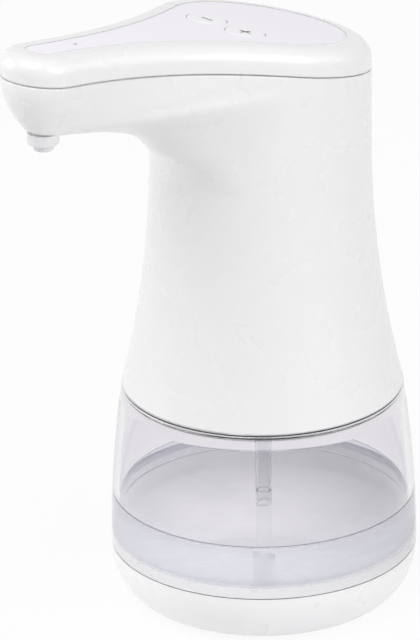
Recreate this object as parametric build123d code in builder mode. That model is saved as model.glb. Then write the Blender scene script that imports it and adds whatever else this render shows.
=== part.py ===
from build123d import *
import os
from math import asin, atan2, cos, pi, radians, sin, sqrt, tan

os.makedirs("parts", exist_ok=True)

# Automatic soap dispenser, in millimetres. The origin is the centre of the underside of the foot,
# +Z points up, the spout points to -Y, and the minus key is on the -X side.

# Driving dimensions of the outside
tank_radius = 46.2
tank_height = 51.2
tank_bulge = 0.95
tank_taper = 3.8
foot_flare = 12.2
foot_height = 17.3
shadow_gap = 0.5
body_radius = 33.15
flare_height = 75.0
spout_reach = 101.7
spout_tip_radius = 12.0
spout_blend_height = 54.0
spout_blend_overlap = 5.0
roof_rise = 35.9
roof_slope = 13.2
roof_arc_radius = 1150.0
cover_height = 8.5
cover_edge_radius = 5.2
panel_inset = 7.4
key_radius = 6.0
key_spacing = 15.7
key_forward = 14.0
led_inset = 25.7
sensor_spacing = 18.7

# Walls and clearances that several pieces share
wall = 2.2
part_gap = 0.25
free_gap = 0.3
running_gap = 0.05
seat_gap = 0.02
overrun = 20.0

# Heights, radii and places that follow from them. The nozzle stands at the centre of the spout's tip.
tank_top = foot_height + tank_height
head_bottom = tank_top + shadow_gap
spout_root = head_bottom + flare_height - spout_blend_overlap
roof_height = spout_root + roof_rise
head_foot_radius = tank_radius - tank_taper
foot_flat_radius = tank_radius - foot_flare
nozzle_forward = spout_reach - spout_tip_radius
sensor_forward = nozzle_forward - sensor_spacing
led_forward = spout_reach - led_inset

# Centre of the arcs that the roof, the seam and everything parallel to them share, in the YZ plane
roof_centre = (
    -roof_arc_radius * sin(radians(roof_slope)),
    roof_height - roof_arc_radius * cos(radians(roof_slope)),
)


def roof_disc(rise):
    """Disc for the YZ plane whose rim is the seam of the cover, lifted by rise."""
    with BuildSketch() as disc:
        with Locations(roof_centre):
            Circle(roof_arc_radius + rise)
    return disc.sketch


def roof_plane(forward, rise):
    """Plane that touches the lifted roof arc, with its normal outwards and x to the right."""
    radius = roof_arc_radius + rise
    tilt = asin((-forward - roof_centre[0]) / radius)
    height = roof_centre[1] + radius * cos(tilt)
    return Plane(origin=(0, -forward, height), x_dir=(1, 0, 0), z_dir=(0, sin(tilt), cos(tilt)))


flank_grip_share = 0.36


def beak_outline(round_radius, reach, tip_radius, root_angle, tip_angle):
    """Plan outline of the head: a round body and a round tip, joined by two curved flanks.

    The angles say where the flanks leave the two circles, from the X axis towards the spout.
    """
    a, b = radians(root_angle), radians(tip_angle)
    root = Vector(round_radius * cos(a), -round_radius * sin(a))
    tip = Vector(tip_radius * cos(b), tip_radius - reach - tip_radius * sin(b))
    grip = (root - tip).length * flank_grip_share
    root_grip = root + Vector(-sin(a), -cos(a)) * grip
    tip_grip = tip - Vector(-sin(b), -cos(b)) * grip
    right = [root, root_grip, tip_grip, tip]
    left = [Vector(-point.X, point.Y) for point in right]
    with BuildSketch() as outline:
        with BuildLine():
            ThreePointArc(right[0], (0, round_radius), left[0])
            Bezier(*left)
            ThreePointArc(left[3], (0, -reach), right[3])
            Bezier(*reversed(right))
        make_face()
    return outline.sketch


# The flare of the body is an arc that runs out upright just above the root of the spout
flare_drop = head_foot_radius - body_radius
flare_arc_radius = (flare_height**2 + flare_drop**2) / (2 * flare_drop)
flare_shares = [0.0, 0.2, 0.4, 0.6, 0.8]


def flare_radius(height, inset=0):
    """Radius of the flared body at a height, drawn in by inset."""
    rise = max(head_bottom + flare_height - height, 0)
    centre = body_radius + flare_arc_radius
    return centre - sqrt((flare_arc_radius + inset) ** 2 - rise**2)


# Levels of the head's outer form, from the round body up to the full spout. Each level has its height
# as a share of the blend, its reach as a share of the overhang, its tip radius as a share of the way
# from the spout's tip to the body's radius, and the two angles of its flanks.
level_shares = [
    (0.000, 0.000, 1.000, 50, 64),
    (0.074, 0.010, 0.920, 50, 63),
    (0.148, 0.040, 0.660, 49, 60),
    (0.222, 0.088, 0.360, 47, 57),
    (0.296, 0.150, 0.100, 43, 54),
    (0.407, 0.238, -0.120, 36, 48),
    (0.500, 0.370, -0.260, 30, 38),
    (0.574, 0.538, -0.300, 26, 30),
    (0.626, 0.700, -0.310, 25, 24),
    (0.678, 0.872, -0.320, 26, 16),
    (0.741, 0.930, -0.260, 26.5, 12),
    (0.833, 0.972, -0.120, 27, 4),
    (0.944, 0.998, -0.020, 27.5, -1),
    (1.060, 1.000, 0.000, 27.5, -1.6),
    (1.280, 1.000, 0.000, 27.5, -1.6),
]


def head_levels(inset):
    """Sections of the head's form, drawn in and lifted by inset, each as a height and an outline.

    The flare's sections are whole circles, drawn with the same four curves as the spout's sections.
    """
    levels = []
    for share in flare_shares:
        height = head_bottom + share * (spout_root - head_bottom)
        radius = flare_radius(height, inset)
        levels.append((height, beak_outline(radius, radius, radius, *level_shares[0][3:])))
    for height_share, reach_share, tip_share, root_angle, tip_angle in level_shares:
        height = spout_root + height_share * spout_blend_height + inset
        radius = flare_radius(height, inset)
        reach = radius + reach_share * (spout_reach - body_radius)
        tip = radius + (1 - tip_share) * (spout_tip_radius - body_radius)
        levels.append((height, beak_outline(radius, reach, tip, root_angle, tip_angle)))
    return levels


def underside(forward):
    """Height and slope of the underside of the spout on its centre line, from the table of levels."""
    share = (forward - body_radius) / (spout_reach - body_radius)
    steps = [(low, high) for low, high in zip(level_shares, level_shares[1:]) if high[1] > low[1]]
    low, high = next((step for step in steps if share < step[1][1]), steps[-1])
    climb = (high[0] - low[0]) / (high[1] - low[1])
    height = spout_root + spout_blend_height * (low[0] + climb * (share - low[1]))
    return height, climb * spout_blend_height / (spout_reach - body_radius)


# Head form: the flared round body and the spout as one closed block, cut to its pieces further down
with BuildPart() as head_form:
    for height, outline in head_levels(0):
        with BuildSketch(Plane.XY.offset(height)):
            add(outline)
    loft()

# Head hollow: the same form drawn in by the wall
with BuildPart() as head_hollow:
    for height, outline in head_levels(wall):
        with BuildSketch(Plane.XY.offset(height)):
            add(outline)
    loft()


screw_bevel_share = 0.35


def screw(head_radius, head_height, shank_radius, length):
    """Pan-head screw that points up: the underside of its head is at zero."""
    with BuildPart() as piece:
        with BuildSketch():
            Circle(head_radius)
        extrude(amount=-head_height)
        chamfer(piece.edges().sort_by(Axis.Z)[0], head_height * screw_bevel_share)
        with BuildSketch():
            Circle(shank_radius)
        extrude(amount=length)
    return piece.part


# Foot: a white cup turned upside down under the clear tank, with bosses for the plate that closes it
foot_wall = 2.4
foot_rim_rise = 0.4
foot_ledge = 1.6
foot_bend_share = (0.5, 0.4)
plate_thickness = 2.0
plate_recess = 1.2
plate_radius = foot_flat_radius - foot_wall
plate_top = plate_recess + plate_thickness
plate_screw_inset = 9.6
plate_screw_ring = plate_radius - plate_screw_inset
plate_screw_count = 3
plate_screw_radius = 1.1
plate_screw_head = 2.3
plate_screw_head_height = 1.3
plate_screw_length = 7.0
plate_boss_radius = 3.2
with BuildPart() as tank_base:
    with BuildSketch(Plane.XZ):
        with BuildLine():
            EllipticalCenterArc(
                (foot_flat_radius, foot_height),
                tank_radius - foot_flat_radius,
                foot_height - foot_rim_rise,
                start_angle=-90,
                arc_size=90,
            )
            Polyline(
                (tank_radius, foot_height), (0, foot_height), (0, foot_rim_rise), (foot_flat_radius, foot_rim_rise)
            )
        make_face()
    revolve(axis=Axis.Z)
    with BuildSketch(Plane.XZ):
        with BuildLine():
            deck_height = foot_height - foot_wall
            ledge_radius = plate_radius - foot_ledge
            ledge_top = plate_top + foot_ledge
            bend = (
                foot_flat_radius + foot_bend_share[0] * (tank_radius - foot_flat_radius),
                foot_bend_share[1] * foot_height,
            )
            Polyline(
                (tank_radius - foot_wall, deck_height),
                (0, deck_height),
                (0, 0),
                (plate_radius + part_gap, 0),
                (plate_radius + part_gap, plate_top),
                (ledge_radius, plate_top),
                (ledge_radius, ledge_top),
            )
            ThreePointArc((ledge_radius, ledge_top), bend, (tank_radius - foot_wall, deck_height))
        make_face()
    revolve(axis=Axis.Z, mode=Mode.SUBTRACT)
    with BuildSketch(Plane.XY.offset(plate_top)):
        with PolarLocations(plate_screw_ring, plate_screw_count):
            Circle(plate_boss_radius)
            Circle(plate_screw_radius + seat_gap, mode=Mode.SUBTRACT)
    extrude(amount=deck_height - plate_top)
tank_base.part.label = "tank_base"
export_step(tank_base.part, "parts/tank_base.step")

# Plate that closes the foot from below, with sunk holes for its screws
with BuildPart() as base_plate:
    with BuildSketch(Plane.XY.offset(plate_recess)):
        Circle(plate_radius)
    extrude(amount=plate_thickness)
    with BuildSketch(Plane.XY.offset(plate_recess)):
        with PolarLocations(plate_screw_ring, plate_screw_count):
            Circle(plate_screw_head + part_gap)
    extrude(amount=plate_screw_head_height + seat_gap, mode=Mode.SUBTRACT)
    with BuildSketch(Plane.XY.offset(plate_recess)):
        with PolarLocations(plate_screw_ring, plate_screw_count):
            Circle(plate_screw_radius + part_gap)
    extrude(amount=plate_thickness, mode=Mode.SUBTRACT)
base_plate.part.label = "base_plate"
export_step(base_plate.part, "parts/base_plate.step")

with BuildPart() as base_screws:
    with Locations(Plane.XY.offset(plate_recess + plate_screw_head_height)):
        with PolarLocations(plate_screw_ring, plate_screw_count):
            add(screw(plate_screw_head, plate_screw_head_height, plate_screw_radius, plate_screw_length))
base_screws.part.label = "base_screws"
export_step(base_screws.part, "parts/base_screws.step")

# Anti-slip pad: the soft disc that the dispenser stands on
pad_radius = plate_radius - foot_ledge
with BuildPart() as foot_pad:
    with BuildSketch():
        Circle(pad_radius)
    extrude(amount=plate_recess)
foot_pad.part.label = "foot_pad"
export_step(foot_pad.part, "parts/foot_pad.step")

# Clear tank: a cup with a thick floor and a neck that stands up inside the head
neck_inset = 4.6
neck_radius = head_foot_radius - neck_inset
neck_height = 7.0
neck_inner = neck_radius - wall
neck_top = tank_top + neck_height
floor_top = foot_height + wall
floor_fillet = 3.0
shoulder_drop = 2.6
shoulder_rise = 2.0
shoulder_fillet = 4.5
rim_bevel = 0.5


def tank_curve(inset, low, high):
    """Three points of the tank's flank, drawn in by inset, between two heights."""
    chord = tank_radius - head_foot_radius
    points = []
    for height in (low, (low + high) / 2, high):
        climb = (height - foot_height) / tank_height
        radius = tank_radius - chord * climb + 4 * tank_bulge * climb * (1 - climb) - inset
        points.append((radius, height))
    return points


with BuildPart() as tank:
    with BuildSketch(Plane.XZ):
        with BuildLine():
            outside = tank_curve(0, foot_height, tank_top)
            ThreePointArc(*outside)
            Polyline(
                outside[2], (neck_radius, tank_top), (neck_radius, neck_top), (0, neck_top), (0, foot_height), outside[0]
            )
        make_face()
    revolve(axis=Axis.Z)
    with BuildSketch(Plane.XZ) as inside:
        with BuildLine():
            flank = tank_curve(wall, floor_top, tank_top - shoulder_drop)
            ThreePointArc(*flank)
            Polyline(
                flank[2],
                (neck_inner, tank_top - shoulder_drop + shoulder_rise),
                (neck_inner, neck_top),
                (0, neck_top),
                (0, floor_top),
                flank[0],
            )
        make_face()
        fillet(inside.vertices().sort_by_distance(flank[0])[0], floor_fillet)
        fillet(inside.vertices().sort_by_distance(flank[2])[0], shoulder_fillet)
    revolve(axis=Axis.Z, mode=Mode.SUBTRACT)
    chamfer(tank.edges().filter_by(GeomType.CIRCLE).group_by(Axis.Z)[-1], rim_bevel)
tank.part.label = "tank"
export_step(tank.part, "parts/tank.step")

# Bulkhead: the floor of the head. Its skirt plugs the neck of the tank, a square opening leads to the
# cells, and two ears carry the pin of the battery door.
bulkhead_thickness = 2.2
bulkhead_rise = 1.5
bulkhead_bottom = neck_top + bulkhead_rise
bulkhead_top = bulkhead_bottom + bulkhead_thickness
bulkhead_radius = flare_radius(bulkhead_top, wall) - free_gap
skirt_radius = neck_inner - 2 * part_gap
skirt_thickness = 1.8
skirt_depth = neck_height
seal_groove = 1.1
seal_height = 2.4
seal_bevel = 0.5
tower_angles = [20, 160, 215, 325]
tower_radius = 3.0
tower_height = 20.0
tower_rib = 2.0
tower_screw_radius = 1.3
tower_screw_head = 2.4
tower_screw_gap = 0.9
tower_screw_head_height = 1.6
tower_screw_length = 12.0
tower_ring = skirt_radius - skirt_thickness - tower_screw_head - tower_screw_gap
tube_radius = 2.4
tube_bore = 1.7
grommet_radius = 3.3
grommet_lip = 0.8
cell_radius = 5.2
cell_length = 43.6
cell_pitch = 2 * cell_radius + 2 * free_gap
cell_back = 16.8
box_wall = 1.1
pocket_side = cell_pitch + 2 * cell_radius + 2 * free_gap
box_side = pocket_side + 2 * box_wall
door_thickness = 2.0
door_width = pocket_side + box_wall + free_gap
door_length = pocket_side + part_gap
door_corner = 4.0
door_pin_radius = 0.8
door_knuckle_radius = 1.5
door_top = bulkhead_bottom - free_gap - door_knuckle_radius + door_thickness / 2
door_mid = door_top - door_thickness / 2
door_hinge_back = cell_back + door_length / 2 + door_knuckle_radius + free_gap
ear_thickness = 2.0
ear_centre = 8.4


def tower_places(ring):
    """Places of the four screw towers on a ring about the axis."""
    return [(ring * cos(radians(angle)), ring * sin(radians(angle))) for angle in tower_angles]


with BuildPart() as bulkhead:
    with BuildSketch(Plane.XY.offset(bulkhead_bottom)):
        Circle(bulkhead_radius)
    extrude(amount=bulkhead_thickness)
    with BuildSketch(Plane.XY.offset(bulkhead_bottom - skirt_depth)):
        Circle(skirt_radius)
        Circle(skirt_radius - skirt_thickness, mode=Mode.SUBTRACT)
    extrude(amount=skirt_depth)
    with BuildSketch(Plane.XY.offset(bulkhead_bottom - skirt_depth / 2 - seal_height / 2)):
        Circle(skirt_radius + overrun)
        Circle(skirt_radius - seal_groove, mode=Mode.SUBTRACT)
    extrude(amount=seal_height, mode=Mode.SUBTRACT)
    with BuildSketch(Plane.XY.offset(bulkhead_bottom)):
        with Locations((0, cell_back)):
            RectangleRounded(pocket_side, pocket_side, cell_radius)
        with Locations(*tower_places(tower_ring)):
            Circle(tower_screw_radius + part_gap)
        Circle(grommet_radius + seat_gap)
    extrude(amount=bulkhead_thickness, mode=Mode.SUBTRACT)
    for side in (-ear_centre, ear_centre):
        with BuildSketch(Plane.YZ.offset(side)):
            with Locations((door_hinge_back, door_mid)):
                Circle(door_knuckle_radius)
            with Locations((door_hinge_back, (door_mid + bulkhead_bottom) / 2)):
                Rectangle(2 * door_knuckle_radius, bulkhead_bottom - door_mid)
            with Locations((door_hinge_back, door_mid)):
                Circle(door_pin_radius + seat_gap, mode=Mode.SUBTRACT)
        extrude(amount=ear_thickness / 2, both=True)
bulkhead.part.label = "bulkhead"
export_step(bulkhead.part, "parts/bulkhead.step")

with BuildPart() as bulkhead_screws:
    with Locations(Plane.XY.offset(bulkhead_bottom)):
        with Locations(*tower_places(tower_ring)):
            add(screw(tower_screw_head, tower_screw_head_height, tower_screw_radius, tower_screw_length))
bulkhead_screws.part.label = "bulkhead_screws"
export_step(bulkhead_screws.part, "parts/bulkhead_screws.step")

# Seal ring in the groove of the skirt
with BuildPart() as tank_seal:
    with BuildSketch(Plane.XY.offset(bulkhead_bottom - skirt_depth / 2 - seal_height / 2 + part_gap)):
        Circle(neck_inner - free_gap)
        Circle(skirt_radius - seal_groove + seat_gap, mode=Mode.SUBTRACT)
    extrude(amount=seal_height - 2 * part_gap)
    chamfer(tank_seal.edges().filter_by(GeomType.CIRCLE).group_by(SortBy.RADIUS)[-1], seal_bevel)
tank_seal.part.label = "tank_seal"
export_step(tank_seal.part, "parts/tank_seal.step")

# Main housing: the white shell of body and spout, open below and cut above along the roof seam
boss_radius = 6.8
boss_depth = 4.6
nozzle_flange = 4.65
nozzle_barrel = 3.4
nozzle_sink = 0.6
nozzle_seat = underside(nozzle_forward)[0] + nozzle_sink
window_radius = 3.9
window_height, window_slope = underside(sensor_forward)
window_tilt = atan2(window_slope, 1)
window_plane = Plane(
    origin=(0, -sensor_forward, window_height), x_dir=(1, 0, 0), z_dir=(0, sin(window_tilt), cos(window_tilt))
)
sensor_board_drop = 9.0
sensor_board_thickness = 1.0
sensor_board_size = (11.0, 16.0)
sensor_post_radius = 1.5
sensor_post_inset = 2.0
sensor_plane = roof_plane(sensor_forward, -sensor_board_drop)
# Cavity of the housing: the head hollow, less the screw towers with their ribs, the boss round the
# nozzle and the posts of the sensor board
with BuildPart() as housing_cavity:
    add(head_hollow.part)
    with BuildSketch(Plane.XY.offset(bulkhead_top + seat_gap)):
        with Locations(*tower_places(tower_ring)):
            Circle(tower_radius)
        for angle in tower_angles:
            with Locations(Rot(0, 0, angle)):
                with Locations(((tower_ring + head_foot_radius) / 2, 0)):
                    Rectangle(head_foot_radius - tower_ring, tower_rib)
    extrude(amount=tower_height, mode=Mode.SUBTRACT)
    with BuildSketch(Plane.XY.offset(nozzle_seat - boss_depth / 2)):
        with Locations((0, -nozzle_forward)):
            Circle(boss_radius)
    extrude(amount=boss_depth, mode=Mode.SUBTRACT)
    with BuildSketch(sensor_plane.offset(-sensor_board_thickness - seat_gap)):
        with GridLocations(
            sensor_board_size[0] - 2 * sensor_post_inset, sensor_board_size[1] - 2 * sensor_post_inset, 2, 2
        ):
            Circle(sensor_post_radius)
    extrude(amount=-overrun, mode=Mode.SUBTRACT)

with BuildPart() as main_housing:
    add(head_form.part)
    with BuildSketch(Plane.YZ):
        add(roof_disc(-part_gap / 2))
    extrude(amount=tank_radius, both=True, mode=Mode.INTERSECT)
    add(housing_cavity.part, mode=Mode.SUBTRACT)
    with BuildSketch(Plane.XY.offset(bulkhead_top)):
        with Locations(*tower_places(tower_ring)):
            Circle(tower_screw_radius + seat_gap)
    extrude(amount=tower_screw_length, mode=Mode.SUBTRACT)
    with BuildSketch(Plane.XY.offset(nozzle_seat)):
        with Locations((0, -nozzle_forward)):
            Circle(nozzle_flange + part_gap)
    extrude(amount=-overrun, mode=Mode.SUBTRACT)
    with BuildSketch(Plane.XY.offset(nozzle_seat)):
        with Locations((0, -nozzle_forward)):
            Circle(nozzle_barrel + seat_gap)
    extrude(amount=boss_depth, mode=Mode.SUBTRACT)
    with BuildSketch(window_plane):
        Circle(window_radius + seat_gap)
    extrude(amount=wall * 2, both=True, mode=Mode.SUBTRACT)
main_housing.part.label = "main_housing"
export_step(main_housing.part, "parts/main_housing.step")

# Top cover: the lid above the seam, with a rounded edge, a flat recess for the panel, two key wells,
# a rear lip that finds the housing, and posts for the two boards
cover_wall = 2.6
recess_depth = 1.2
key_flange = 0.9
key_gap = 0.2
panel_sink = 0.2
key_well_radius = key_radius + key_flange + free_gap
lip_thickness = 1.3
lip_depth = 2.5
board_depth = 8.2
board_size = (26.0, 34.0)
board_thickness = 1.2
board_post_radius = 2.0
board_post_inset = 2.6
board_screw_radius = 0.9
board_screw_head = 1.8
board_screw_head_height = 1.1
board_screw_length = 3.6
led_board_depth = 6.0
led_board_size = (6.0, 12.0)
led_board_thickness = 0.9
led_post_radius = 1.2
led_lens_radius = 0.55
led_guide_radius = 0.9
panel_angles = level_shares[-1][3:]
key_plane = roof_plane(key_forward, cover_height)
led_plane = roof_plane(led_forward, cover_height)


def panel_outline(inset):
    """Plan outline of the inset panel, drawn in from the outline of the head."""
    return beak_outline(body_radius - inset, spout_reach - inset, spout_tip_radius - inset, *panel_angles)


with BuildPart() as cover_lip:
    with BuildSketch(Plane.XY.offset(spout_root)):
        Circle(body_radius - wall - part_gap)
        Circle(body_radius - wall - part_gap - lip_thickness, mode=Mode.SUBTRACT)
        with Locations((0, -body_radius)):
            Rectangle(2 * body_radius, 2 * body_radius, mode=Mode.SUBTRACT)
    extrude(amount=roof_height)
    with BuildSketch(Plane.YZ):
        add(roof_disc(cover_height - cover_wall / 2))
    extrude(amount=tank_radius, both=True, mode=Mode.INTERSECT)
    with BuildSketch(Plane.YZ):
        add(roof_disc(-lip_depth))
    extrude(amount=tank_radius, both=True, mode=Mode.SUBTRACT)

with BuildPart() as cover_hollow:
    with BuildSketch(Plane.XY.offset(spout_root)):
        add(panel_outline(wall))
    extrude(amount=roof_height)
    with BuildSketch(Plane.YZ):
        add(roof_disc(cover_height - cover_wall))
    extrude(amount=tank_radius, both=True, mode=Mode.INTERSECT)

with BuildPart() as panel_recess:
    with BuildSketch(Plane.XY.offset(spout_root)):
        add(panel_outline(panel_inset - part_gap))
    extrude(amount=roof_height)
    with BuildSketch(Plane.YZ):
        add(roof_disc(cover_height - recess_depth))
    extrude(amount=tank_radius, both=True, mode=Mode.SUBTRACT)

with BuildPart() as top_cover:
    with BuildSketch(Plane.XY.offset(spout_root)):
        add(panel_outline(0))
    extrude(amount=roof_height)
    with BuildSketch(Plane.YZ):
        add(roof_disc(cover_height))
    extrude(amount=tank_radius, both=True, mode=Mode.INTERSECT)
    with BuildSketch(Plane.YZ):
        add(roof_disc(part_gap / 2))
    extrude(amount=tank_radius, both=True, mode=Mode.SUBTRACT)
    fillet(top_cover.faces().sort_by_distance(key_plane.origin)[0].edges(), cover_edge_radius)
    add(cover_hollow.part, mode=Mode.SUBTRACT)
    add(cover_lip.part)
    add(panel_recess.part, mode=Mode.SUBTRACT)
    with BuildSketch(key_plane):
        with GridLocations(key_spacing, key_spacing, 2, 1):
            Circle(key_well_radius)
    extrude(amount=-cover_wall * 2, mode=Mode.SUBTRACT)
    with BuildSketch(key_plane.offset(-cover_wall)):
        with GridLocations(board_size[0] - 2 * board_post_inset, board_size[1] - 2 * board_post_inset, 2, 2):
            Circle(board_post_radius)
            Circle(board_screw_radius + seat_gap, mode=Mode.SUBTRACT)
    extrude(amount=cover_wall - board_depth)
    with BuildSketch(led_plane.offset(-cover_wall)):
        with GridLocations(led_board_size[0], led_board_size[1] - 2 * led_post_radius, 1, 2):
            Circle(led_post_radius)
    extrude(amount=cover_wall - led_board_depth)
    with BuildSketch(led_plane):
        Circle(led_guide_radius + seat_gap)
    extrude(amount=-cover_wall * 2, mode=Mode.SUBTRACT)
top_cover.part.label = "top_cover"
export_step(top_cover.part, "parts/top_cover.step")

# Panel: the flat plate in the recess of the cover
with BuildPart() as control_panel:
    with BuildSketch(Plane.XY.offset(spout_root)):
        add(panel_outline(panel_inset))
    extrude(amount=roof_height)
    with BuildSketch(Plane.YZ):
        add(roof_disc(cover_height - panel_sink))
    extrude(amount=tank_radius, both=True, mode=Mode.INTERSECT)
    with BuildSketch(Plane.YZ):
        add(roof_disc(cover_height - recess_depth + seat_gap))
    extrude(amount=tank_radius, both=True, mode=Mode.SUBTRACT)
    with BuildSketch(key_plane):
        with GridLocations(key_spacing, key_spacing, 2, 1):
            Circle(key_radius + key_gap)
    extrude(amount=-cover_wall, mode=Mode.SUBTRACT)
    with BuildSketch(led_plane):
        Circle(led_lens_radius + seat_gap)
    extrude(amount=-cover_wall, mode=Mode.SUBTRACT)
control_panel.part.label = "control_panel"
export_step(control_panel.part, "parts/control_panel.step")

# Keys: round caps with a flange under the panel, a hollow back and a stem that meets the switch
key_travel = 0.6
key_stem_gap = 0.1
key_skin = 1.0
key_stem_radius = 1.5
key_flange_height = 0.6
key_edge_radius = 0.3
symbol_length = 4.6
symbol_width = 0.9
symbol_depth = 0.15
switch_size = 6.0
switch_height = 2.4
switch_plunger_radius = 1.7
switch_plunger_height = 1.2
key_top = -panel_sink + key_gap / 2
key_flange_top = -recess_depth - key_gap - symbol_depth
key_bottom = key_flange_top - key_flange_height
key_stem_bottom = -board_depth + switch_height + switch_plunger_height + key_travel + key_stem_gap


for label, side, strokes in (("minus_key", -key_spacing / 2, [0]), ("plus_key", key_spacing / 2, [0, 90])):
    place = Plane(key_plane.from_local_coords((side, 0, 0)), x_dir=key_plane.x_dir, z_dir=key_plane.z_dir)
    with BuildPart() as key_cap:
        with BuildSketch(place.offset(key_bottom)):
            Circle(key_radius)
        extrude(amount=key_top - key_bottom)
        fillet(key_cap.faces().sort_by(Axis.Z)[-1].edges(), key_edge_radius)
        with BuildSketch(place.offset(key_bottom)):
            Circle(key_radius + key_flange)
        extrude(amount=key_flange_height)
        with BuildSketch(place.offset(key_bottom)):
            Circle(key_radius - key_skin)
        extrude(amount=key_top - key_skin - key_bottom, mode=Mode.SUBTRACT)
        with BuildSketch(place.offset(key_stem_bottom)):
            Circle(key_stem_radius)
        extrude(amount=key_top - key_skin / 2 - key_stem_bottom)
        with BuildSketch(place.offset(key_top - symbol_depth)):
            for turn in strokes:
                SlotOverall(symbol_length, symbol_width, rotation=turn)
        extrude(amount=key_gap, mode=Mode.SUBTRACT)
    key_cap.part.label = label
    export_step(key_cap.part, "parts/" + label + ".step")

# Control board under the cover: key switches on its upper face, chips and a plug on its lower face
board_underside = key_plane.offset(-board_depth - seat_gap - board_thickness)
board_post_grid = (board_size[0] - 2 * board_post_inset, board_size[1] - 2 * board_post_inset)
board_corner = 2.0
chip_size = (9.0, 9.0)
chip_height = 1.4
chip_forward = 4.0
plug_size = (10.0, 5.0)
plug_height = 4.5
plug_back = 11.0
can_radius = 2.5
can_height = 5.0
can_side = 7.5
can_back = 4.0
with BuildPart() as control_board:
    with BuildSketch(board_underside):
        RectangleRounded(*board_size, board_corner)
        with GridLocations(*board_post_grid, 2, 2):
            Circle(board_screw_radius + part_gap, mode=Mode.SUBTRACT)
    extrude(amount=board_thickness)
control_board.part.label = "control_board"
export_step(control_board.part, "parts/control_board.step")

with BuildPart() as board_screws:
    with Locations(board_underside):
        with GridLocations(*board_post_grid, 2, 2):
            add(screw(board_screw_head, board_screw_head_height, board_screw_radius, board_screw_length))
board_screws.part.label = "board_screws"
export_step(board_screws.part, "parts/board_screws.step")

with BuildPart() as key_switches:
    with BuildSketch(key_plane.offset(-board_depth)):
        with GridLocations(key_spacing, key_spacing, 2, 1):
            Rectangle(switch_size, switch_size)
    extrude(amount=switch_height)
    with BuildSketch(key_plane.offset(-board_depth)):
        with GridLocations(key_spacing, key_spacing, 2, 1):
            Circle(switch_plunger_radius)
    extrude(amount=switch_height + switch_plunger_height)
key_switches.part.label = "key_switches"
export_step(key_switches.part, "parts/key_switches.step")

with BuildPart() as board_parts:
    with BuildSketch(board_underside.offset(-seat_gap)):
        with Locations((0, -chip_forward)):
            Rectangle(*chip_size)
    extrude(amount=-chip_height)
    with BuildSketch(board_underside.offset(-seat_gap)):
        with Locations((0, plug_back)):
            Rectangle(*plug_size)
    extrude(amount=-plug_height)
    with BuildSketch(board_underside.offset(-seat_gap)):
        with Locations((can_side, can_back)):
            Circle(can_radius)
    extrude(amount=-can_height)
board_parts.part.label = "board_parts"
export_step(board_parts.part, "parts/board_parts.step")

# Pilot light: a small board on two posts, the lamp on it and the light guide that ends in the panel
lamp_size = 3.0
lamp_height = 2.0
lamp_edge_radius = 0.6
guide_gap = 0.4
with BuildPart() as led_board:
    with BuildSketch(led_plane.offset(-led_board_depth - seat_gap)):
        Rectangle(*led_board_size)
    extrude(amount=-led_board_thickness)
led_board.part.label = "led_board"
export_step(led_board.part, "parts/led_board.step")

with BuildPart() as status_led:
    with BuildSketch(led_plane.offset(-led_board_depth)):
        Rectangle(lamp_size, lamp_size)
    extrude(amount=lamp_height)
    fillet(status_led.faces().sort_by(Axis.Z)[-1].edges(), lamp_edge_radius)
status_led.part.label = "status_led"
export_step(status_led.part, "parts/status_led.step")

with BuildPart() as led_lens:
    with BuildSketch(led_plane.offset(-recess_depth)):
        Circle(led_lens_radius)
    extrude(amount=recess_depth - panel_sink)
    with BuildSketch(led_plane.offset(-recess_depth)):
        Circle(led_guide_radius)
    extrude(amount=recess_depth + lamp_height + guide_gap - led_board_depth)
led_lens.part.label = "led_lens"
export_step(led_lens.part, "parts/led_lens.step")

# Hand sensor: its board on four posts, the sender and the receiver, and the dark window below them
ir_size = (3.0, 4.0)
ir_height = 3.4
ir_spacing = 4.2
window_thickness = 2.0
window_sink = 0.45
with BuildPart() as sensor_board:
    with BuildSketch(sensor_plane):
        Rectangle(*sensor_board_size)
    extrude(amount=-sensor_board_thickness)
sensor_board.part.label = "sensor_board"
export_step(sensor_board.part, "parts/sensor_board.step")

with BuildPart() as ir_pair:
    with BuildSketch(sensor_plane.offset(-sensor_board_thickness - seat_gap)):
        with GridLocations(ir_spacing, ir_spacing, 2, 1):
            Rectangle(*ir_size)
    extrude(amount=-ir_height)
ir_pair.part.label = "ir_pair"
export_step(ir_pair.part, "parts/ir_pair.step")

with BuildPart() as sensor_window:
    with BuildSketch(window_plane.offset(window_sink)):
        Circle(window_radius)
    extrude(amount=window_thickness)
sensor_window.part.label = "sensor_window"
export_step(sensor_window.part, "parts/sensor_window.step")

# Gear pump: a cover plate on the bulkhead and a body with two gear chambers and the two ports
gear_teeth = 12
gear_module = 0.9
gear_height = 7.4
gear_gap = 0.3
gear_back = -15.0
gear_side = gear_teeth * gear_module / 2
gear_tip_radius = gear_side + gear_module
gear_root_share = 1.25
gear_root_radius = gear_side - gear_root_share * gear_module
tooth_half_shares = (0.62, 0.36, 0.16)
chamber_radius = gear_tip_radius + gear_gap
chamber_height = gear_height + 2 * gear_gap
pump_cover_thickness = 2.2
pump_bottom = bulkhead_top + seat_gap
pump_floor = pump_bottom + pump_cover_thickness
pump_body_bottom = pump_floor + seat_gap
chamber_top = pump_body_bottom + chamber_height
pump_roof = 3.0
pump_body_height = chamber_height + pump_roof
pump_top = pump_body_bottom + pump_body_height
pump_half_width = 14.0
pump_front = -27.4
pump_rear = -6.4
pump_corner = 2.5
pump_length = pump_rear - pump_front
pump_middle = (pump_rear + pump_front) / 2
pump_screw_inset = 2.3
pump_screw_radius = 1.0
pump_screw_head = 1.8
pump_screw_head_height = 1.1
pump_screw_length = 5.0
pump_screw_grid = (2 * pump_half_width - 2 * pump_screw_inset, pump_length - 2 * pump_screw_inset)
shaft_radius = 1.5
pin_seat = 1.6
inlet_height = pump_body_bottom + chamber_height / 2
outlet_drop = 1.9
outlet_height = chamber_top - outlet_drop
port_radius = 1.4
outlet_side = 10.8
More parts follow.
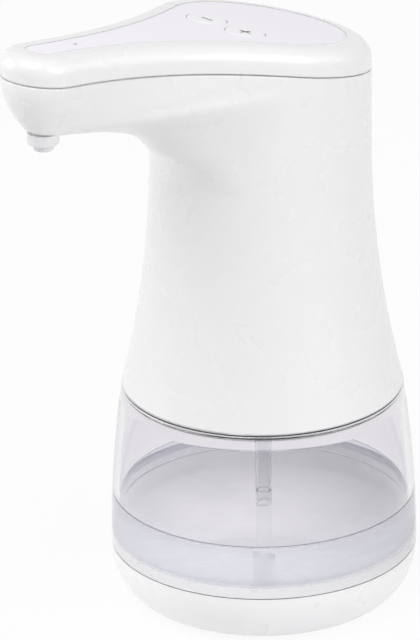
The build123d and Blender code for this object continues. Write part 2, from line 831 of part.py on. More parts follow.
outlet_back = -24.0
hose_radius = 2.2
hose_bore = 1.4
spigot_height = 3.0

with BuildPart() as pump_cover:
    with BuildSketch(Plane.XY.offset(pump_bottom)):
        with Locations((0, pump_middle)):
            RectangleRounded(2 * pump_half_width, pump_length, pump_corner)
    extrude(amount=pump_cover_thickness)
    with BuildSketch(Plane.XY.offset(pump_bottom)):
        with Locations((0, pump_middle)):
            with GridLocations(*pump_screw_grid, 2, 2):
                Circle(pump_screw_head + part_gap)
    extrude(amount=pump_screw_head_height + part_gap, mode=Mode.SUBTRACT)
    with BuildSketch(Plane.XY.offset(pump_bottom)):
        with Locations((0, pump_middle)):
            with GridLocations(*pump_screw_grid, 2, 2):
                Circle(pump_screw_radius + part_gap)
    extrude(amount=pump_cover_thickness, mode=Mode.SUBTRACT)
    with BuildSketch(Plane.XY.offset(pump_floor)):
        with Locations((gear_side, gear_back)):
            Circle(shaft_radius + seat_gap)
    extrude(amount=-pin_seat, mode=Mode.SUBTRACT)
pump_cover.part.label = "pump_cover"
export_step(pump_cover.part, "parts/pump_cover.step")

with BuildPart() as pump_screws:
    with Locations(Plane.XY.offset(pump_bottom + pump_screw_head_height + part_gap)):
        with Locations((0, pump_middle)):
            with GridLocations(*pump_screw_grid, 2, 2):
                add(screw(pump_screw_head, pump_screw_head_height, pump_screw_radius, pump_screw_length))
pump_screws.part.label = "pump_screws"
export_step(pump_screws.part, "parts/pump_screws.step")

with BuildPart() as pump_body:
    with BuildSketch(Plane.XY.offset(pump_body_bottom)):
        with Locations((0, pump_middle)):
            RectangleRounded(2 * pump_half_width, pump_length, pump_corner)
    extrude(amount=pump_body_height)
    with BuildSketch(Plane.XY.offset(pump_top)):
        with Locations((outlet_side, outlet_back)):
            Circle(hose_radius)
    extrude(amount=spigot_height)
    with BuildSketch(Plane.XY.offset(pump_body_bottom)):
        with Locations((-gear_side, gear_back), (gear_side, gear_back)):
            Circle(chamber_radius)
    extrude(amount=chamber_height, mode=Mode.SUBTRACT)
    with BuildSketch(Plane.XY.offset(pump_body_bottom)):
        with Locations((-gear_side, gear_back)):
            Circle(shaft_radius + running_gap)
    extrude(amount=pump_body_height, mode=Mode.SUBTRACT)
    with BuildSketch(Plane.XY.offset(chamber_top)):
        with Locations((gear_side, gear_back)):
            Circle(shaft_radius + seat_gap)
    extrude(amount=pin_seat, mode=Mode.SUBTRACT)
    with BuildSketch(Plane.XY.offset(pump_body_bottom)):
        with Locations((0, pump_middle)):
            with GridLocations(*pump_screw_grid, 2, 2):
                Circle(pump_screw_radius + seat_gap)
    extrude(amount=pump_screw_length, mode=Mode.SUBTRACT)
    with BuildSketch(Plane.XZ.offset(-pump_rear)):
        with Locations((0, inlet_height)):
            Circle(port_radius)
    extrude(amount=pump_rear - gear_back, mode=Mode.SUBTRACT)
    with BuildSketch(Plane.XZ.offset(-gear_back)):
        with Locations((0, outlet_height)):
            Circle(port_radius)
    extrude(amount=gear_back - outlet_back, mode=Mode.SUBTRACT)
    with BuildSketch(Plane.YZ):
        with Locations((outlet_back, outlet_height)):
            Circle(port_radius)
    extrude(amount=outlet_side, mode=Mode.SUBTRACT)
    with BuildSketch(Plane.XY.offset(outlet_height)):
        with Locations((outlet_side, outlet_back)):
            Circle(port_radius)
    extrude(amount=pump_top + spigot_height - outlet_height, mode=Mode.SUBTRACT)
pump_body.part.label = "pump_body"
export_step(pump_body.part, "parts/pump_body.step")


def gear_outline(turn):
    """Spur gear with straight-flanked teeth, one of them turned by the angle from the X axis."""
    pitch_width = pi * gear_module / 2
    root, middle, tip = [share * pitch_width for share in tooth_half_shares]
    with BuildSketch() as outline:
        Circle(gear_root_radius)
        with PolarLocations(0, gear_teeth, start_angle=turn):
            Polygon(
                (0, -root),
                (gear_root_radius, -root),
                (gear_side, -middle),
                (gear_tip_radius, -tip),
                (gear_tip_radius, tip),
                (gear_side, middle),
                (gear_root_radius, root),
                (0, root),
                align=None,
            )
    return outline.sketch


gear_bottom = pump_body_bottom + gear_gap
with BuildPart() as drive_gear:
    with BuildSketch(Plane.XY.offset(gear_bottom)):
        with Locations((-gear_side, gear_back)):
            add(gear_outline(0))
            Circle(shaft_radius + seat_gap, mode=Mode.SUBTRACT)
    extrude(amount=gear_height)
drive_gear.part.label = "drive_gear"
export_step(drive_gear.part, "parts/drive_gear.step")

with BuildPart() as idler_gear:
    with BuildSketch(Plane.XY.offset(gear_bottom)):
        with Locations((gear_side, gear_back)):
            add(gear_outline(180 / gear_teeth))
            Circle(shaft_radius + running_gap, mode=Mode.SUBTRACT)
    extrude(amount=gear_height)
idler_gear.part.label = "idler_gear"
export_step(idler_gear.part, "parts/idler_gear.step")

with BuildPart() as idler_pin:
    with BuildSketch(Plane.XY.offset(pump_floor - pin_seat + seat_gap)):
        with Locations((gear_side, gear_back)):
            Circle(shaft_radius)
    extrude(amount=chamber_height + 2 * pin_seat - seat_gap)
idler_pin.part.label = "idler_pin"
export_step(idler_pin.part, "parts/idler_pin.step")

# Motor on the pump: a can with two flats, its end cap with two tabs, and the shaft down to the drive gear
motor_radius = 12.0
motor_flats = 19.0
motor_height = 27.0
motor_cap_height = 3.0
motor_cap_inset = 0.6
motor_tab = (2.0, 0.5)
motor_tab_spacing = 13.0
motor_tab_height = 4.0
shaft_reach = 14.0
with BuildPart() as pump_motor:
    with BuildSketch(Plane.XY.offset(pump_top + seat_gap)):
        with Locations((-gear_side, gear_back)):
            Circle(motor_radius)
            Rectangle(2 * motor_radius, motor_flats, mode=Mode.INTERSECT)
    extrude(amount=motor_height)
    with BuildSketch(Plane.XY.offset(pump_top)):
        with Locations((-gear_side, gear_back)):
            Circle(shaft_radius + running_gap)
    extrude(amount=shaft_reach + free_gap, mode=Mode.SUBTRACT)
pump_motor.part.label = "pump_motor"
export_step(pump_motor.part, "parts/pump_motor.step")

with BuildPart() as motor_cap:
    with BuildSketch(Plane.XY.offset(pump_top + motor_height + 2 * seat_gap)):
        with Locations((-gear_side, gear_back)):
            Circle(motor_radius - motor_cap_inset)
            Rectangle(2 * motor_radius, motor_flats - 2 * motor_cap_inset, mode=Mode.INTERSECT)
    extrude(amount=motor_cap_height)
    with BuildSketch(Plane.XY.offset(pump_top + motor_height + motor_cap_height)):
        with Locations((-gear_side, gear_back)):
            with GridLocations(motor_tab_spacing, motor_tab_spacing, 2, 1):
                Rectangle(*motor_tab)
    extrude(amount=motor_tab_height)
motor_cap.part.label = "motor_cap"
export_step(motor_cap.part, "parts/motor_cap.step")

with BuildPart() as motor_shaft:
    with BuildSketch(Plane.XY.offset(gear_bottom)):
        with Locations((-gear_side, gear_back)):
            Circle(shaft_radius)
    extrude(amount=pump_top + shaft_reach - gear_bottom)
motor_shaft.part.label = "motor_shaft"
export_step(motor_shaft.part, "parts/motor_shaft.step")

# Suction side: the dip tube in its grommet, and the elbow from the tube's end to the pump
tube_floor_gap = 2.1
tube_bottom = floor_top + tube_floor_gap
tube_bevel = 1.6
elbow_wall = 1.2
elbow_radius = tube_radius + elbow_wall
elbow_bottom = bulkhead_top + grommet_lip + free_gap
elbow_top = inlet_height + elbow_radius
tube_end = inlet_height - port_radius
grommet_lip_reach = 0.9
with BuildPart() as dip_tube:
    with BuildSketch(Plane.XY.offset(tube_bottom)):
        Circle(tube_radius)
        Circle(tube_bore, mode=Mode.SUBTRACT)
    extrude(amount=tube_end - tube_bottom)
    with BuildSketch(Plane.YZ):
        Polygon(
            (-tube_radius, tube_bottom),
            (tube_radius, tube_bottom),
            (tube_radius, tube_bottom + tube_bevel),
            align=None,
        )
    extrude(amount=tube_radius, both=True, mode=Mode.SUBTRACT)
dip_tube.part.label = "dip_tube"
export_step(dip_tube.part, "parts/dip_tube.step")

with BuildPart() as tube_grommet:
    with BuildSketch(Plane.XY.offset(bulkhead_bottom - grommet_lip)):
        Circle(grommet_radius)
    extrude(amount=bulkhead_thickness + 2 * grommet_lip)
    with BuildSketch(Plane.XY.offset(bulkhead_top + seat_gap)):
        Circle(grommet_radius + grommet_lip_reach)
    extrude(amount=grommet_lip)
    with BuildSketch(Plane.XY.offset(bulkhead_bottom - seat_gap)):
        Circle(grommet_radius + grommet_lip_reach)
    extrude(amount=-grommet_lip)
    with BuildSketch(Plane.XY.offset(bulkhead_bottom - 2 * grommet_lip)):
        Circle(tube_radius + seat_gap)
    extrude(amount=bulkhead_thickness + 4 * grommet_lip, mode=Mode.SUBTRACT)
tube_grommet.part.label = "tube_grommet"
export_step(tube_grommet.part, "parts/tube_grommet.step")

with BuildPart() as inlet_elbow:
    with BuildSketch(Plane.XY.offset(elbow_bottom)):
        Circle(elbow_radius)
    extrude(amount=elbow_top - elbow_bottom)
    with BuildSketch(Plane.XZ):
        with Locations((0, inlet_height)):
            Circle(hose_radius)
    extrude(amount=-pump_rear - seat_gap)
    with BuildSketch(Plane.XY.offset(elbow_bottom)):
        Circle(tube_radius + seat_gap)
    extrude(amount=tube_end + seat_gap - elbow_bottom, mode=Mode.SUBTRACT)
    with BuildSketch(Plane.XY.offset(tube_end)):
        Circle(port_radius)
    extrude(amount=port_radius, mode=Mode.SUBTRACT)
    with BuildSketch(Plane.XZ):
        with Locations((0, inlet_height)):
            Circle(port_radius)
    extrude(amount=-pump_rear, mode=Mode.SUBTRACT)
inlet_elbow.part.label = "inlet_elbow"
export_step(inlet_elbow.part, "parts/inlet_elbow.step")

# Outlet: the nozzle under the tip, the soft valve in it, and the elbow on top where the hose ends
nozzle_drop = 5.45
nozzle_bottom = nozzle_seat - nozzle_drop
nozzle_step = 1.9
nozzle_foot = 3.1
nozzle_edge_radius = 0.6
nozzle_bore = 1.5
valve_radius = 2.3
valve_sink = 0.3
valve_length = 3.2
valve_skin = 0.8
valve_slit = (2.4, 0.3)
barrel_rise = 9.05
barrel_top = nozzle_seat + barrel_rise
nozzle_elbow_wall = 1.2
nozzle_elbow_radius = nozzle_barrel + nozzle_elbow_wall
nozzle_elbow_grip = 2.2
nozzle_elbow_bottom = barrel_top - nozzle_elbow_grip
hose_end_rise = 3.0
hose_end_height = barrel_top + hose_end_rise
hose_end_reach = 1.2
hose_end_forward = nozzle_forward - nozzle_elbow_radius - hose_end_reach
with BuildPart() as nozzle:
    with BuildSketch(Plane.XY.offset(nozzle_bottom)):
        with Locations((0, -nozzle_forward)):
            Circle(nozzle_foot)
    extrude(amount=nozzle_step)
    with BuildSketch(Plane.XY.offset(nozzle_bottom + nozzle_step)):
        with Locations((0, -nozzle_forward)):
            Circle(nozzle_flange)
    extrude(amount=nozzle_seat - seat_gap - nozzle_bottom - nozzle_step)
    rims = nozzle.edges().filter_by(GeomType.CIRCLE).group_by(Axis.Z)
    fillet([rims[0][0], rims[1].sort_by(SortBy.RADIUS)[-1]], nozzle_edge_radius)
    with BuildSketch(Plane.XY.offset(nozzle_bottom + nozzle_step)):
        with Locations((0, -nozzle_forward)):
            Circle(nozzle_barrel)
    extrude(amount=barrel_top - nozzle_bottom - nozzle_step)
    with BuildSketch(Plane.XY.offset(nozzle_bottom)):
        with Locations((0, -nozzle_forward)):
            Circle(nozzle_bore)
    extrude(amount=barrel_top - nozzle_bottom, mode=Mode.SUBTRACT)
    with BuildSketch(Plane.XY.offset(nozzle_bottom)):
        with Locations((0, -nozzle_forward)):
            Circle(valve_radius + seat_gap)
    extrude(amount=valve_sink + valve_length + seat_gap, mode=Mode.SUBTRACT)
nozzle.part.label = "nozzle"
export_step(nozzle.part, "parts/nozzle.step")

with BuildPart() as nozzle_valve:
    with BuildSketch(Plane.XY.offset(nozzle_bottom + valve_sink)):
        with Locations((0, -nozzle_forward)):
            Circle(valve_radius)
    extrude(amount=valve_length)
    with BuildSketch(Plane.XY.offset(nozzle_bottom + valve_sink + valve_skin)):
        with Locations((0, -nozzle_forward)):
            Circle(nozzle_bore)
    extrude(amount=valve_length, mode=Mode.SUBTRACT)
    with BuildSketch(Plane.XY.offset(nozzle_bottom)):
        with Locations((0, -nozzle_forward)):
            Rectangle(*valve_slit)
    extrude(amount=valve_length, mode=Mode.SUBTRACT)
nozzle_valve.part.label = "nozzle_valve"
export_step(nozzle_valve.part, "parts/nozzle_valve.step")

with BuildPart() as nozzle_elbow:
    with BuildSketch(Plane.XY.offset(nozzle_elbow_bottom)):
        with Locations((0, -nozzle_forward)):
            Circle(nozzle_elbow_radius)
    extrude(amount=hose_end_height + hose_radius + nozzle_elbow_wall - nozzle_elbow_bottom)
    with BuildSketch(Plane.XZ.offset(hose_end_forward)):
        with Locations((0, hose_end_height)):
            Circle(hose_radius)
    extrude(amount=nozzle_forward - hose_end_forward)
    with BuildSketch(Plane.XY.offset(nozzle_elbow_bottom)):
        with Locations((0, -nozzle_forward)):
            Circle(nozzle_barrel + seat_gap)
    extrude(amount=barrel_top + seat_gap - nozzle_elbow_bottom, mode=Mode.SUBTRACT)
    with BuildSketch(Plane.XY.offset(barrel_top)):
        with Locations((0, -nozzle_forward)):
            Circle(nozzle_bore)
    extrude(amount=hose_end_height + nozzle_bore - barrel_top, mode=Mode.SUBTRACT)
    with BuildSketch(Plane.XZ.offset(hose_end_forward)):
        with Locations((0, hose_end_height)):
            Circle(hose_bore)
    extrude(amount=nozzle_forward - hose_end_forward, mode=Mode.SUBTRACT)
nozzle_elbow.part.label = "nozzle_elbow"
export_step(nozzle_elbow.part, "parts/nozzle_elbow.step")

# Hose from the pump's spigot up beside the motor and forward through the spout to the nozzle's elbow.
# The straight runs are joined by arcs as large as the runs leave room for.
hose_upright_rise = 11.3
hose_slope_rise = 33.3
hose_slope_run = 20.0
hose_slope_side = 3.0
hose_level_run = 17.9
hose_level_back = hose_level_run - hose_end_forward
hose_start = (outlet_side, outlet_back, pump_top + spigot_height + seat_gap)
hose_turns = [
    (outlet_side, outlet_back, spout_root + hose_upright_rise),
    (hose_slope_side, hose_level_back + hose_slope_run, spout_root + hose_slope_rise),
    (0, hose_level_back, hose_end_height),
]
hose_end = (0, -hose_end_forward + seat_gap, hose_end_height)
hose_grip_share = 0.45


def bend_radii(points):
    """Largest tidy radius for each turn: the shorter run beside it, shared with the next turn."""
    places = [Vector(*point) for point in points]
    radii = []
    for before, here, after in zip(places, places[1:], places[2:]):
        turn = (here - before).get_angle(after - here)
        grip = hose_grip_share * min((here - before).length, (after - here).length)
        radii.append(grip / tan(radians(turn / 2)))
    return radii


hose_points = [hose_start, *hose_turns, hose_end]
hose_radii = bend_radii(hose_points)
with BuildPart() as outlet_hose:
    with BuildLine() as hose_path:
        FilletPolyline(*hose_points, radius=hose_radii)
    with BuildSketch(Plane.XY.offset(hose_start[2])):
        with Locations((outlet_side, outlet_back)):
            Circle(hose_radius)
            Circle(hose_bore, mode=Mode.SUBTRACT)
    sweep(path=hose_path.wires()[0])
print("hose bend radii", [round(radius, 1) for radius in hose_radii])
outlet_hose.part.label = "outlet_hose"
export_step(outlet_hose.part, "parts/outlet_hose.step")

# Battery compartment: a box on the bulkhead for four upright cells, contacts above and below them,
# and a door that swings down on a pin
cell_tip_radius = 2.0
cell_tip_height = 1.0
contact_thickness = 0.4
contact_dome_radius = 3.0
contact_dome_tip = 1.6
contact_dome_height = 3.2
contact_gap = 0.2
box_top_wall = 1.6
cell_bottom = door_top + contact_thickness + contact_dome_height + free_gap
cell_top = cell_bottom + cell_length
box_inside = cell_top + cell_tip_height + contact_gap + contact_thickness
door_knuckle_half = ear_centre - ear_thickness / 2 - free_gap
with BuildPart() as battery_box:
    with BuildSketch(Plane.XY.offset(bulkhead_top + seat_gap)):
        with Locations((0, cell_back)):
            RectangleRounded(box_side, box_side, cell_radius + box_wall)
            RectangleRounded(pocket_side, pocket_side, cell_radius, mode=Mode.SUBTRACT)
    extrude(amount=box_inside - bulkhead_top)
    with BuildSketch(Plane.XY.offset(box_inside + seat_gap)):
        with Locations((0, cell_back)):
            RectangleRounded(box_side, box_side, cell_radius + box_wall)
    extrude(amount=box_top_wall)
battery_box.part.label = "battery_box"
export_step(battery_box.part, "parts/battery_box.step")

with BuildPart() as battery_cells:
    with BuildSketch(Plane.XY.offset(cell_bottom)):
        with Locations((0, cell_back)):
            with GridLocations(cell_pitch, cell_pitch, 2, 2):
                Circle(cell_radius)
    extrude(amount=cell_length)
    with BuildSketch(Plane.XY.offset(cell_top)):
        with Locations((0, cell_back)):
            with GridLocations(cell_pitch, cell_pitch, 2, 2):
                Circle(cell_tip_radius)
    extrude(amount=cell_tip_height)
battery_cells.part.label = "battery_cells"
export_step(battery_cells.part, "parts/battery_cells.step")

with BuildPart() as battery_contacts:
    with BuildSketch(Plane.XY.offset(box_inside - contact_thickness)):
        with Locations((0, cell_back)):
            with GridLocations(cell_pitch, cell_pitch, 2, 1):
                RectangleRounded(2 * contact_dome_radius, pocket_side - 2 * box_wall, contact_dome_radius / 2)
    extrude(amount=contact_thickness)
battery_contacts.part.label = "battery_contacts"
export_step(battery_contacts.part, "parts/battery_contacts.step")

with BuildPart() as battery_door:
    with BuildSketch(Plane.XY.offset(door_top)):
        with Locations((0, cell_back)):
            RectangleRounded(door_width, door_length, door_corner)
    extrude(amount=-door_thickness)
    with BuildSketch(Plane.YZ):
        with Locations((door_hinge_back, door_top - door_thickness / 2)):
            Circle(door_knuckle_radius)
        with Locations((door_hinge_back - door_knuckle_radius, door_top - door_thickness / 2)):
            Rectangle(2 * door_knuckle_radius, door_thickness)
    extrude(amount=door_knuckle_half, both=True)
    with BuildSketch(Plane.YZ):
        with Locations((door_hinge_back, door_top - door_thickness / 2)):
            Circle(door_pin_radius + running_gap)
    extrude(amount=door_knuckle_half, both=True, mode=Mode.SUBTRACT)
battery_door.part.label = "battery_door"
export_step(battery_door.part, "parts/battery_door.step")

with BuildPart() as door_contacts:
    with BuildSketch(Plane.XY.offset(door_top + seat_gap)):
        with Locations((0, cell_back)):
            with GridLocations(cell_pitch, cell_pitch, 1, 2):
                RectangleRounded(pocket_side - 2 * box_wall, 2 * contact_dome_radius, contact_dome_radius / 2)
    extrude(amount=contact_thickness)
    with Locations((0, cell_back, door_top + seat_gap + contact_thickness)):
        with GridLocations(cell_pitch, cell_pitch, 2, 2):
            Cone(
                contact_dome_radius,
                contact_dome_tip,
                contact_dome_height - seat_gap,
                align=(Align.CENTER, Align.CENTER, Align.MIN),
            )
door_contacts.part.label = "door_contacts"
export_step(door_contacts.part, "parts/door_contacts.step")

with BuildPart() as door_pin:
    with BuildSketch(Plane.YZ):
        with Locations((door_hinge_back, door_top - door_thickness / 2)):
            Circle(door_pin_radius)
    extrude(amount=ear_centre + ear_thickness / 2, both=True)
door_pin.part.label = "door_pin"
export_step(door_pin.part, "parts/door_pin.step")
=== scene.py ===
from math import atan2, cos, hypot, pi, radians, sin

import bmesh
import bpy
import numpy as np
from mathutils import Euler, Matrix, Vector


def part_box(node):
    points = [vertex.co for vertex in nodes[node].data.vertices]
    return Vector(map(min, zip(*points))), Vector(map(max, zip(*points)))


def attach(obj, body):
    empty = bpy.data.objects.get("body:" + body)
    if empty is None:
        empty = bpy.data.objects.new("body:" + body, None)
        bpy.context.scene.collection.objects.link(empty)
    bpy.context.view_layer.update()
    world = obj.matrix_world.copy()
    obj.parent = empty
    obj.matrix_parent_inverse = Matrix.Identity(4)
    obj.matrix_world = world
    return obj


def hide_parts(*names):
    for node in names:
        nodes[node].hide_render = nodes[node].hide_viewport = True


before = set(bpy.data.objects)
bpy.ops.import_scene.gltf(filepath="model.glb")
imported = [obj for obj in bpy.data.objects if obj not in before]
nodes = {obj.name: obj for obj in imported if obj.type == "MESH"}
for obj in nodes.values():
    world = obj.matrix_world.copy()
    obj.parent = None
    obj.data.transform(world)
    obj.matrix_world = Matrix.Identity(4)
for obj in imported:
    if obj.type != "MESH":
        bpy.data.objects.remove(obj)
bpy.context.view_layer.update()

# Foot pad and base plate: the soft disc that the dispenser stands on, die-cut from rubber sheet and
# glued on, and the moulded plate above it that three screws hold. Both only show from below.


class Signal:
    """One value inside a material. Operators on it add Math nodes to the material's tree."""

    def __init__(self, tree, socket=None):
        self.tree = tree
        self.socket = socket

    def feed(self, socket, value):
        if isinstance(value, Signal):
            self.tree.links.new(value.socket, socket)
        else:
            socket.default_value = value

    def node(self, kind, inputs=(), settings=(), output=0):
        """Adds one node, with its inputs by name or number, and gives one of its outputs."""
        made = self.tree.nodes.new(kind)
        for name, value in dict(settings).items():
            setattr(made, name, value)
        for name, value in dict(inputs).items():
            self.feed(made.inputs[name], value)
        return Signal(self.tree, made.outputs[output])

    def maths(self, operation, first, second):
        return self.node("ShaderNodeMath", {0: first, 1: second}, {"operation": operation})

    def blend(self, share, first, second):
        """Colour on the way from first to second. Each is a signal or three numbers."""
        ends = [end if isinstance(end, Signal) else (*end, 1) for end in (first, second)]
        inputs = {0: share, 6: ends[0], 7: ends[1]}
        return self.node("ShaderNodeMix", inputs, {"data_type": "RGBA"}, 2)

    def __add__(self, other):
        return self.maths("ADD", self, other)

    def __mul__(self, other):
        return self.maths("MULTIPLY", self, other)

    def __pow__(self, other):
        return self.maths("POWER", self, other)

    __radd__ = __add__
    __rmul__ = __mul__


def graded(at, place, measure, start, end):
    """Share from 0 to 1 of the way from start to end, by height or by distance from the axis."""
    if measure == "height":
        amount = at.node("ShaderNodeSeparateXYZ", {0: place}, output="Z")
    else:
        x, y = [at.node("ShaderNodeSeparateXYZ", {0: place}, output=axis) for axis in "XY"]
        amount = (x * x + y * y) ** 0.5
    return at.node("ShaderNodeMapRange", {0: amount, 1: start, 2: end})


def new_material(name):
    """New material with its Principled surface, a signal on its tree, and the object's place."""
    made = bpy.data.materials.new(name)
    made.use_nodes = True
    at = Signal(made.node_tree)
    place = at.node("ShaderNodeTexCoord", output="Object")
    return made, at.tree.nodes["Principled BSDF"], at, place


def moulded(
    name, colour, roughness, grain=900.0, depth=0.00002, patch=0.02, coat=0.0, glow=None
):
    """Moulded plastic or rubber: a fine grain in the bump, slow patches in the colour and the gloss.

    The colour is mixed between itself and a slightly darker one by a broad noise, and the same noise
    moves the roughness, so the surface isn't one flat value. glow is painted light: a faint emission
    round the axis, with the distances over which it fades, that stands for light that clear pieces
    above gather.
    """
    made, surface, at, place = new_material(name)
    broad = at.node("ShaderNodeTexNoise", {"Vector": place, "Scale": 60.0, "Detail": 3.0})
    fine = at.node("ShaderNodeTexNoise", {"Vector": place, "Scale": grain, "Detail": 2.0})
    darker = [value * (1 - patch) for value in colour]
    at.feed(surface.inputs["Base Color"], at.blend(broad, colour, darker))
    at.feed(surface.inputs["Roughness"], broad * 0.12 + (roughness - 0.06))
    bump = at.node("ShaderNodeBump", {"Distance": depth, "Height": fine})
    at.feed(surface.inputs["Normal"], bump)
    surface.inputs["Coat Weight"].default_value = coat
    if glow:
        light, start, end = glow
        shine = at.blend(graded(at, place, "radius", start, end), light, (0, 0, 0))
        at.feed(surface.inputs["Emission Color"], shine)
        surface.inputs["Emission Strength"].default_value = 1.0
    return made


def dress(material, *names):
    """Gives one material to CAD nodes."""
    for name in names:
        nodes[name].data.materials.clear()
        nodes[name].data.materials.append(material)


dress(moulded("pad_rubber", (0.42, 0.42, 0.44), 0.7, grain=2500.0, depth=0.00004), "foot_pad")
dress(moulded("plate_plastic", (0.62, 0.63, 0.65), 0.45), "base_plate")

# Screws: small zinc-plated pan heads. Three hold the foot's base plate, and the others hold the
# bulkhead, the pump's two plates and the control board.


def plated(name, colour, roughness, brushed=(1.0, 1.0, 1.0)):
    """Metal with fine streaks: a noise stretched by brushed moves its roughness and its colour."""
    made, surface, at, place = new_material(name)
    surface.inputs["Metallic"].default_value = 1.0
    along = at.node("ShaderNodeMapping", {"Vector": place, "Scale": brushed})
    streak = at.node("ShaderNodeTexNoise", {"Vector": along, "Scale": 800.0, "Detail": 3.0})
    darker = [value * 0.82 for value in colour]
    at.feed(surface.inputs["Base Color"], at.blend(streak, colour, darker))
    at.feed(surface.inputs["Roughness"], streak * 0.2 + (roughness - 0.1))
    return made


screw_zinc = plated("screw_zinc", (0.66, 0.66, 0.64), 0.32)
dress(screw_zinc, "base_screws", "bulkhead_screws", "pump_screws", "board_screws")

# Foot: the white moulded cup, turned upside down, that is glued under the clear tank. Its side swells
# from the flat ring it stands on to the full width of the tank.
foot_low, foot_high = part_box("tank_base")
foot_radius = foot_high[0]
foot_top = foot_high[2]
foot_rim = foot_low[2]
foot_flat = 0.034
foot_wall = 0.0024
deck_rise = 0.0001
deck_inset = 0.0007
deck_under = 0.007
joint_round = 0.00045
merge_distance = 2e-6


def arc(centre, radii, start, end, steps):
    """Points on a circle or ellipse about centre, from one angle in degrees to another."""
    angle = np.radians(np.linspace(start, end, steps))
    wide, high = np.broadcast_to(radii, 2)
    return np.stack([centre[0] + wide * np.cos(angle), centre[1] + high * np.sin(angle)], axis=-1)


def finish_skin(name, points, body, material, replaced=()):
    """Closed mesh over a grid of points: rows follow the profile and columns go round the piece.

    The last column joins the first, and the last row joins the first. Points that coincide, as on
    the axis, are merged.
    """
    rows, columns = points.shape[:2]
    index = np.arange(rows * columns).reshape(rows, columns)
    index = np.vstack([index, index[:1]])
    along = np.roll(index, -1, axis=1)
    faces = np.stack([index[:-1], along[:-1], along[1:], index[1:]], axis=-1).reshape(-1, 4)
    mesh = bpy.data.meshes.new(name)
    mesh.from_pydata(points.reshape(-1, 3), [], faces.tolist())
    work = bmesh.new()
    work.from_mesh(mesh)
    bmesh.ops.remove_doubles(work, verts=work.verts, dist=merge_distance)
    bmesh.ops.recalc_face_normals(work, faces=work.faces)
    work.to_mesh(mesh)
    work.free()
    mesh.polygons.foreach_set("use_smooth", np.ones(len(mesh.polygons), bool))
    piece = bpy.data.objects.new(name, mesh)
    bpy.context.scene.collection.objects.link(piece)
    mesh.materials.append(material)
    shading = piece.modifiers.new("even_shading", "WEIGHTED_NORMAL")
    shading.weight = 80
    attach(piece, body)
    if replaced:
        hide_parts(*replaced)


def turned(profile, columns=192):
    """Grid of a turned form: every (radius, height) of the profile is carried round the Z axis."""
    turn = np.linspace(0, 2 * pi, columns, endpoint=False)
    radius, height = np.asarray(profile).T[:, :, None]
    grids = np.broadcast_arrays(radius * np.cos(turn), radius * np.sin(turn), height)
    return np.stack(grids, axis=-1)


def path(*pieces):
    """Joins single points and runs of points to one profile."""
    return np.vstack([np.atleast_2d(piece) for piece in pieces])


foot_middle = (foot_flat, foot_top)
foot_swell = np.array([foot_radius - foot_flat, foot_top - foot_rim])
foot_profile = path(
    arc(foot_middle, foot_swell, -90, -1.5, 40),
    arc((foot_radius - joint_round, foot_top - joint_round), joint_round, 0, 90, 8),
    (foot_radius - deck_inset, foot_top + deck_rise),
    (0, foot_top + deck_rise),
    (0, foot_top - foot_wall),
    (foot_radius - deck_under, foot_top - foot_wall),
    arc(foot_middle, foot_swell - foot_wall, -8, -80, 24),
    (foot_flat - foot_wall, foot_rim + foot_wall),
    (foot_flat - foot_wall, foot_rim),
)
# Painted light: the foot's white is set lighter than the housing's, and the foot glows faintly round
# the axis.
painted_deck_light = ((0.21, 0.21, 0.215), 0.010, 0.036)
foot_colour = (0.93, 0.93, 0.935)
foot_white = moulded(
    "foot_white", foot_colour, 0.28, grain=1400.0, depth=0.000012, patch=0.012, coat=0.3,
    glow=painted_deck_light,
)
foot_grid = turned(foot_profile)
finish_skin("foot_shell", foot_grid, "reservoir", foot_white, ["tank_base"])

# Foot joint: the dark line of shadow and glue in the groove between the rounded edges of foot and
# tank. It narrows inwards as the two edges come together.
joint_dark = moulded("joint_dark", (0.16, 0.16, 0.17), 0.7, grain=2500.0)
joint_depths = np.array([0.00010, 0.00020, 0.00030])
joint_halves = np.array([0.00015, 0.000065, 0.00002])
joint_ring = path(
    np.stack([foot_radius - joint_depths, foot_top + joint_halves], axis=-1),
    np.stack([foot_radius - joint_depths, foot_top - joint_halves], axis=-1)[::-1],
)
finish_skin("foot_joint", turned(joint_ring), "reservoir", joint_dark)

# Tank: one clear moulded cup with a thick floor and slightly bulging walls. At the top it steps in
# over a rounded shoulder to the neck that goes up into the head.
wall = 0.0022
neck_radius = 0.0378
neck_inner = neck_radius - wall
neck_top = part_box("tank")[1][2]
neck_height = 0.007
shoulder = neck_top - neck_height
shoulder_radius = 0.0424
shoulder_round = (0.0009, 0.0008)
lip_round = 0.0006
inner_shoulder_round = 0.0016
inner_shoulder_drop = 0.0018
floor_top = foot_top + wall
floor_round = 0.003
floor_middle = 0.02
bulge = 0.00095
soap_top = 0.0325


def tank_side(inset, low, high, steps):
    """Side of the tank: the chord from foot to shoulder, pushed out in the middle by the bulge."""
    height = np.linspace(low, high, steps)
    climb = (height - foot_top) / (shoulder - foot_top)
    chord = foot_radius + (shoulder_radius - foot_radius) * climb
    swell = 4 * bulge * climb * (1 - climb)
    return np.stack([chord + swell - inset, height], axis=-1)


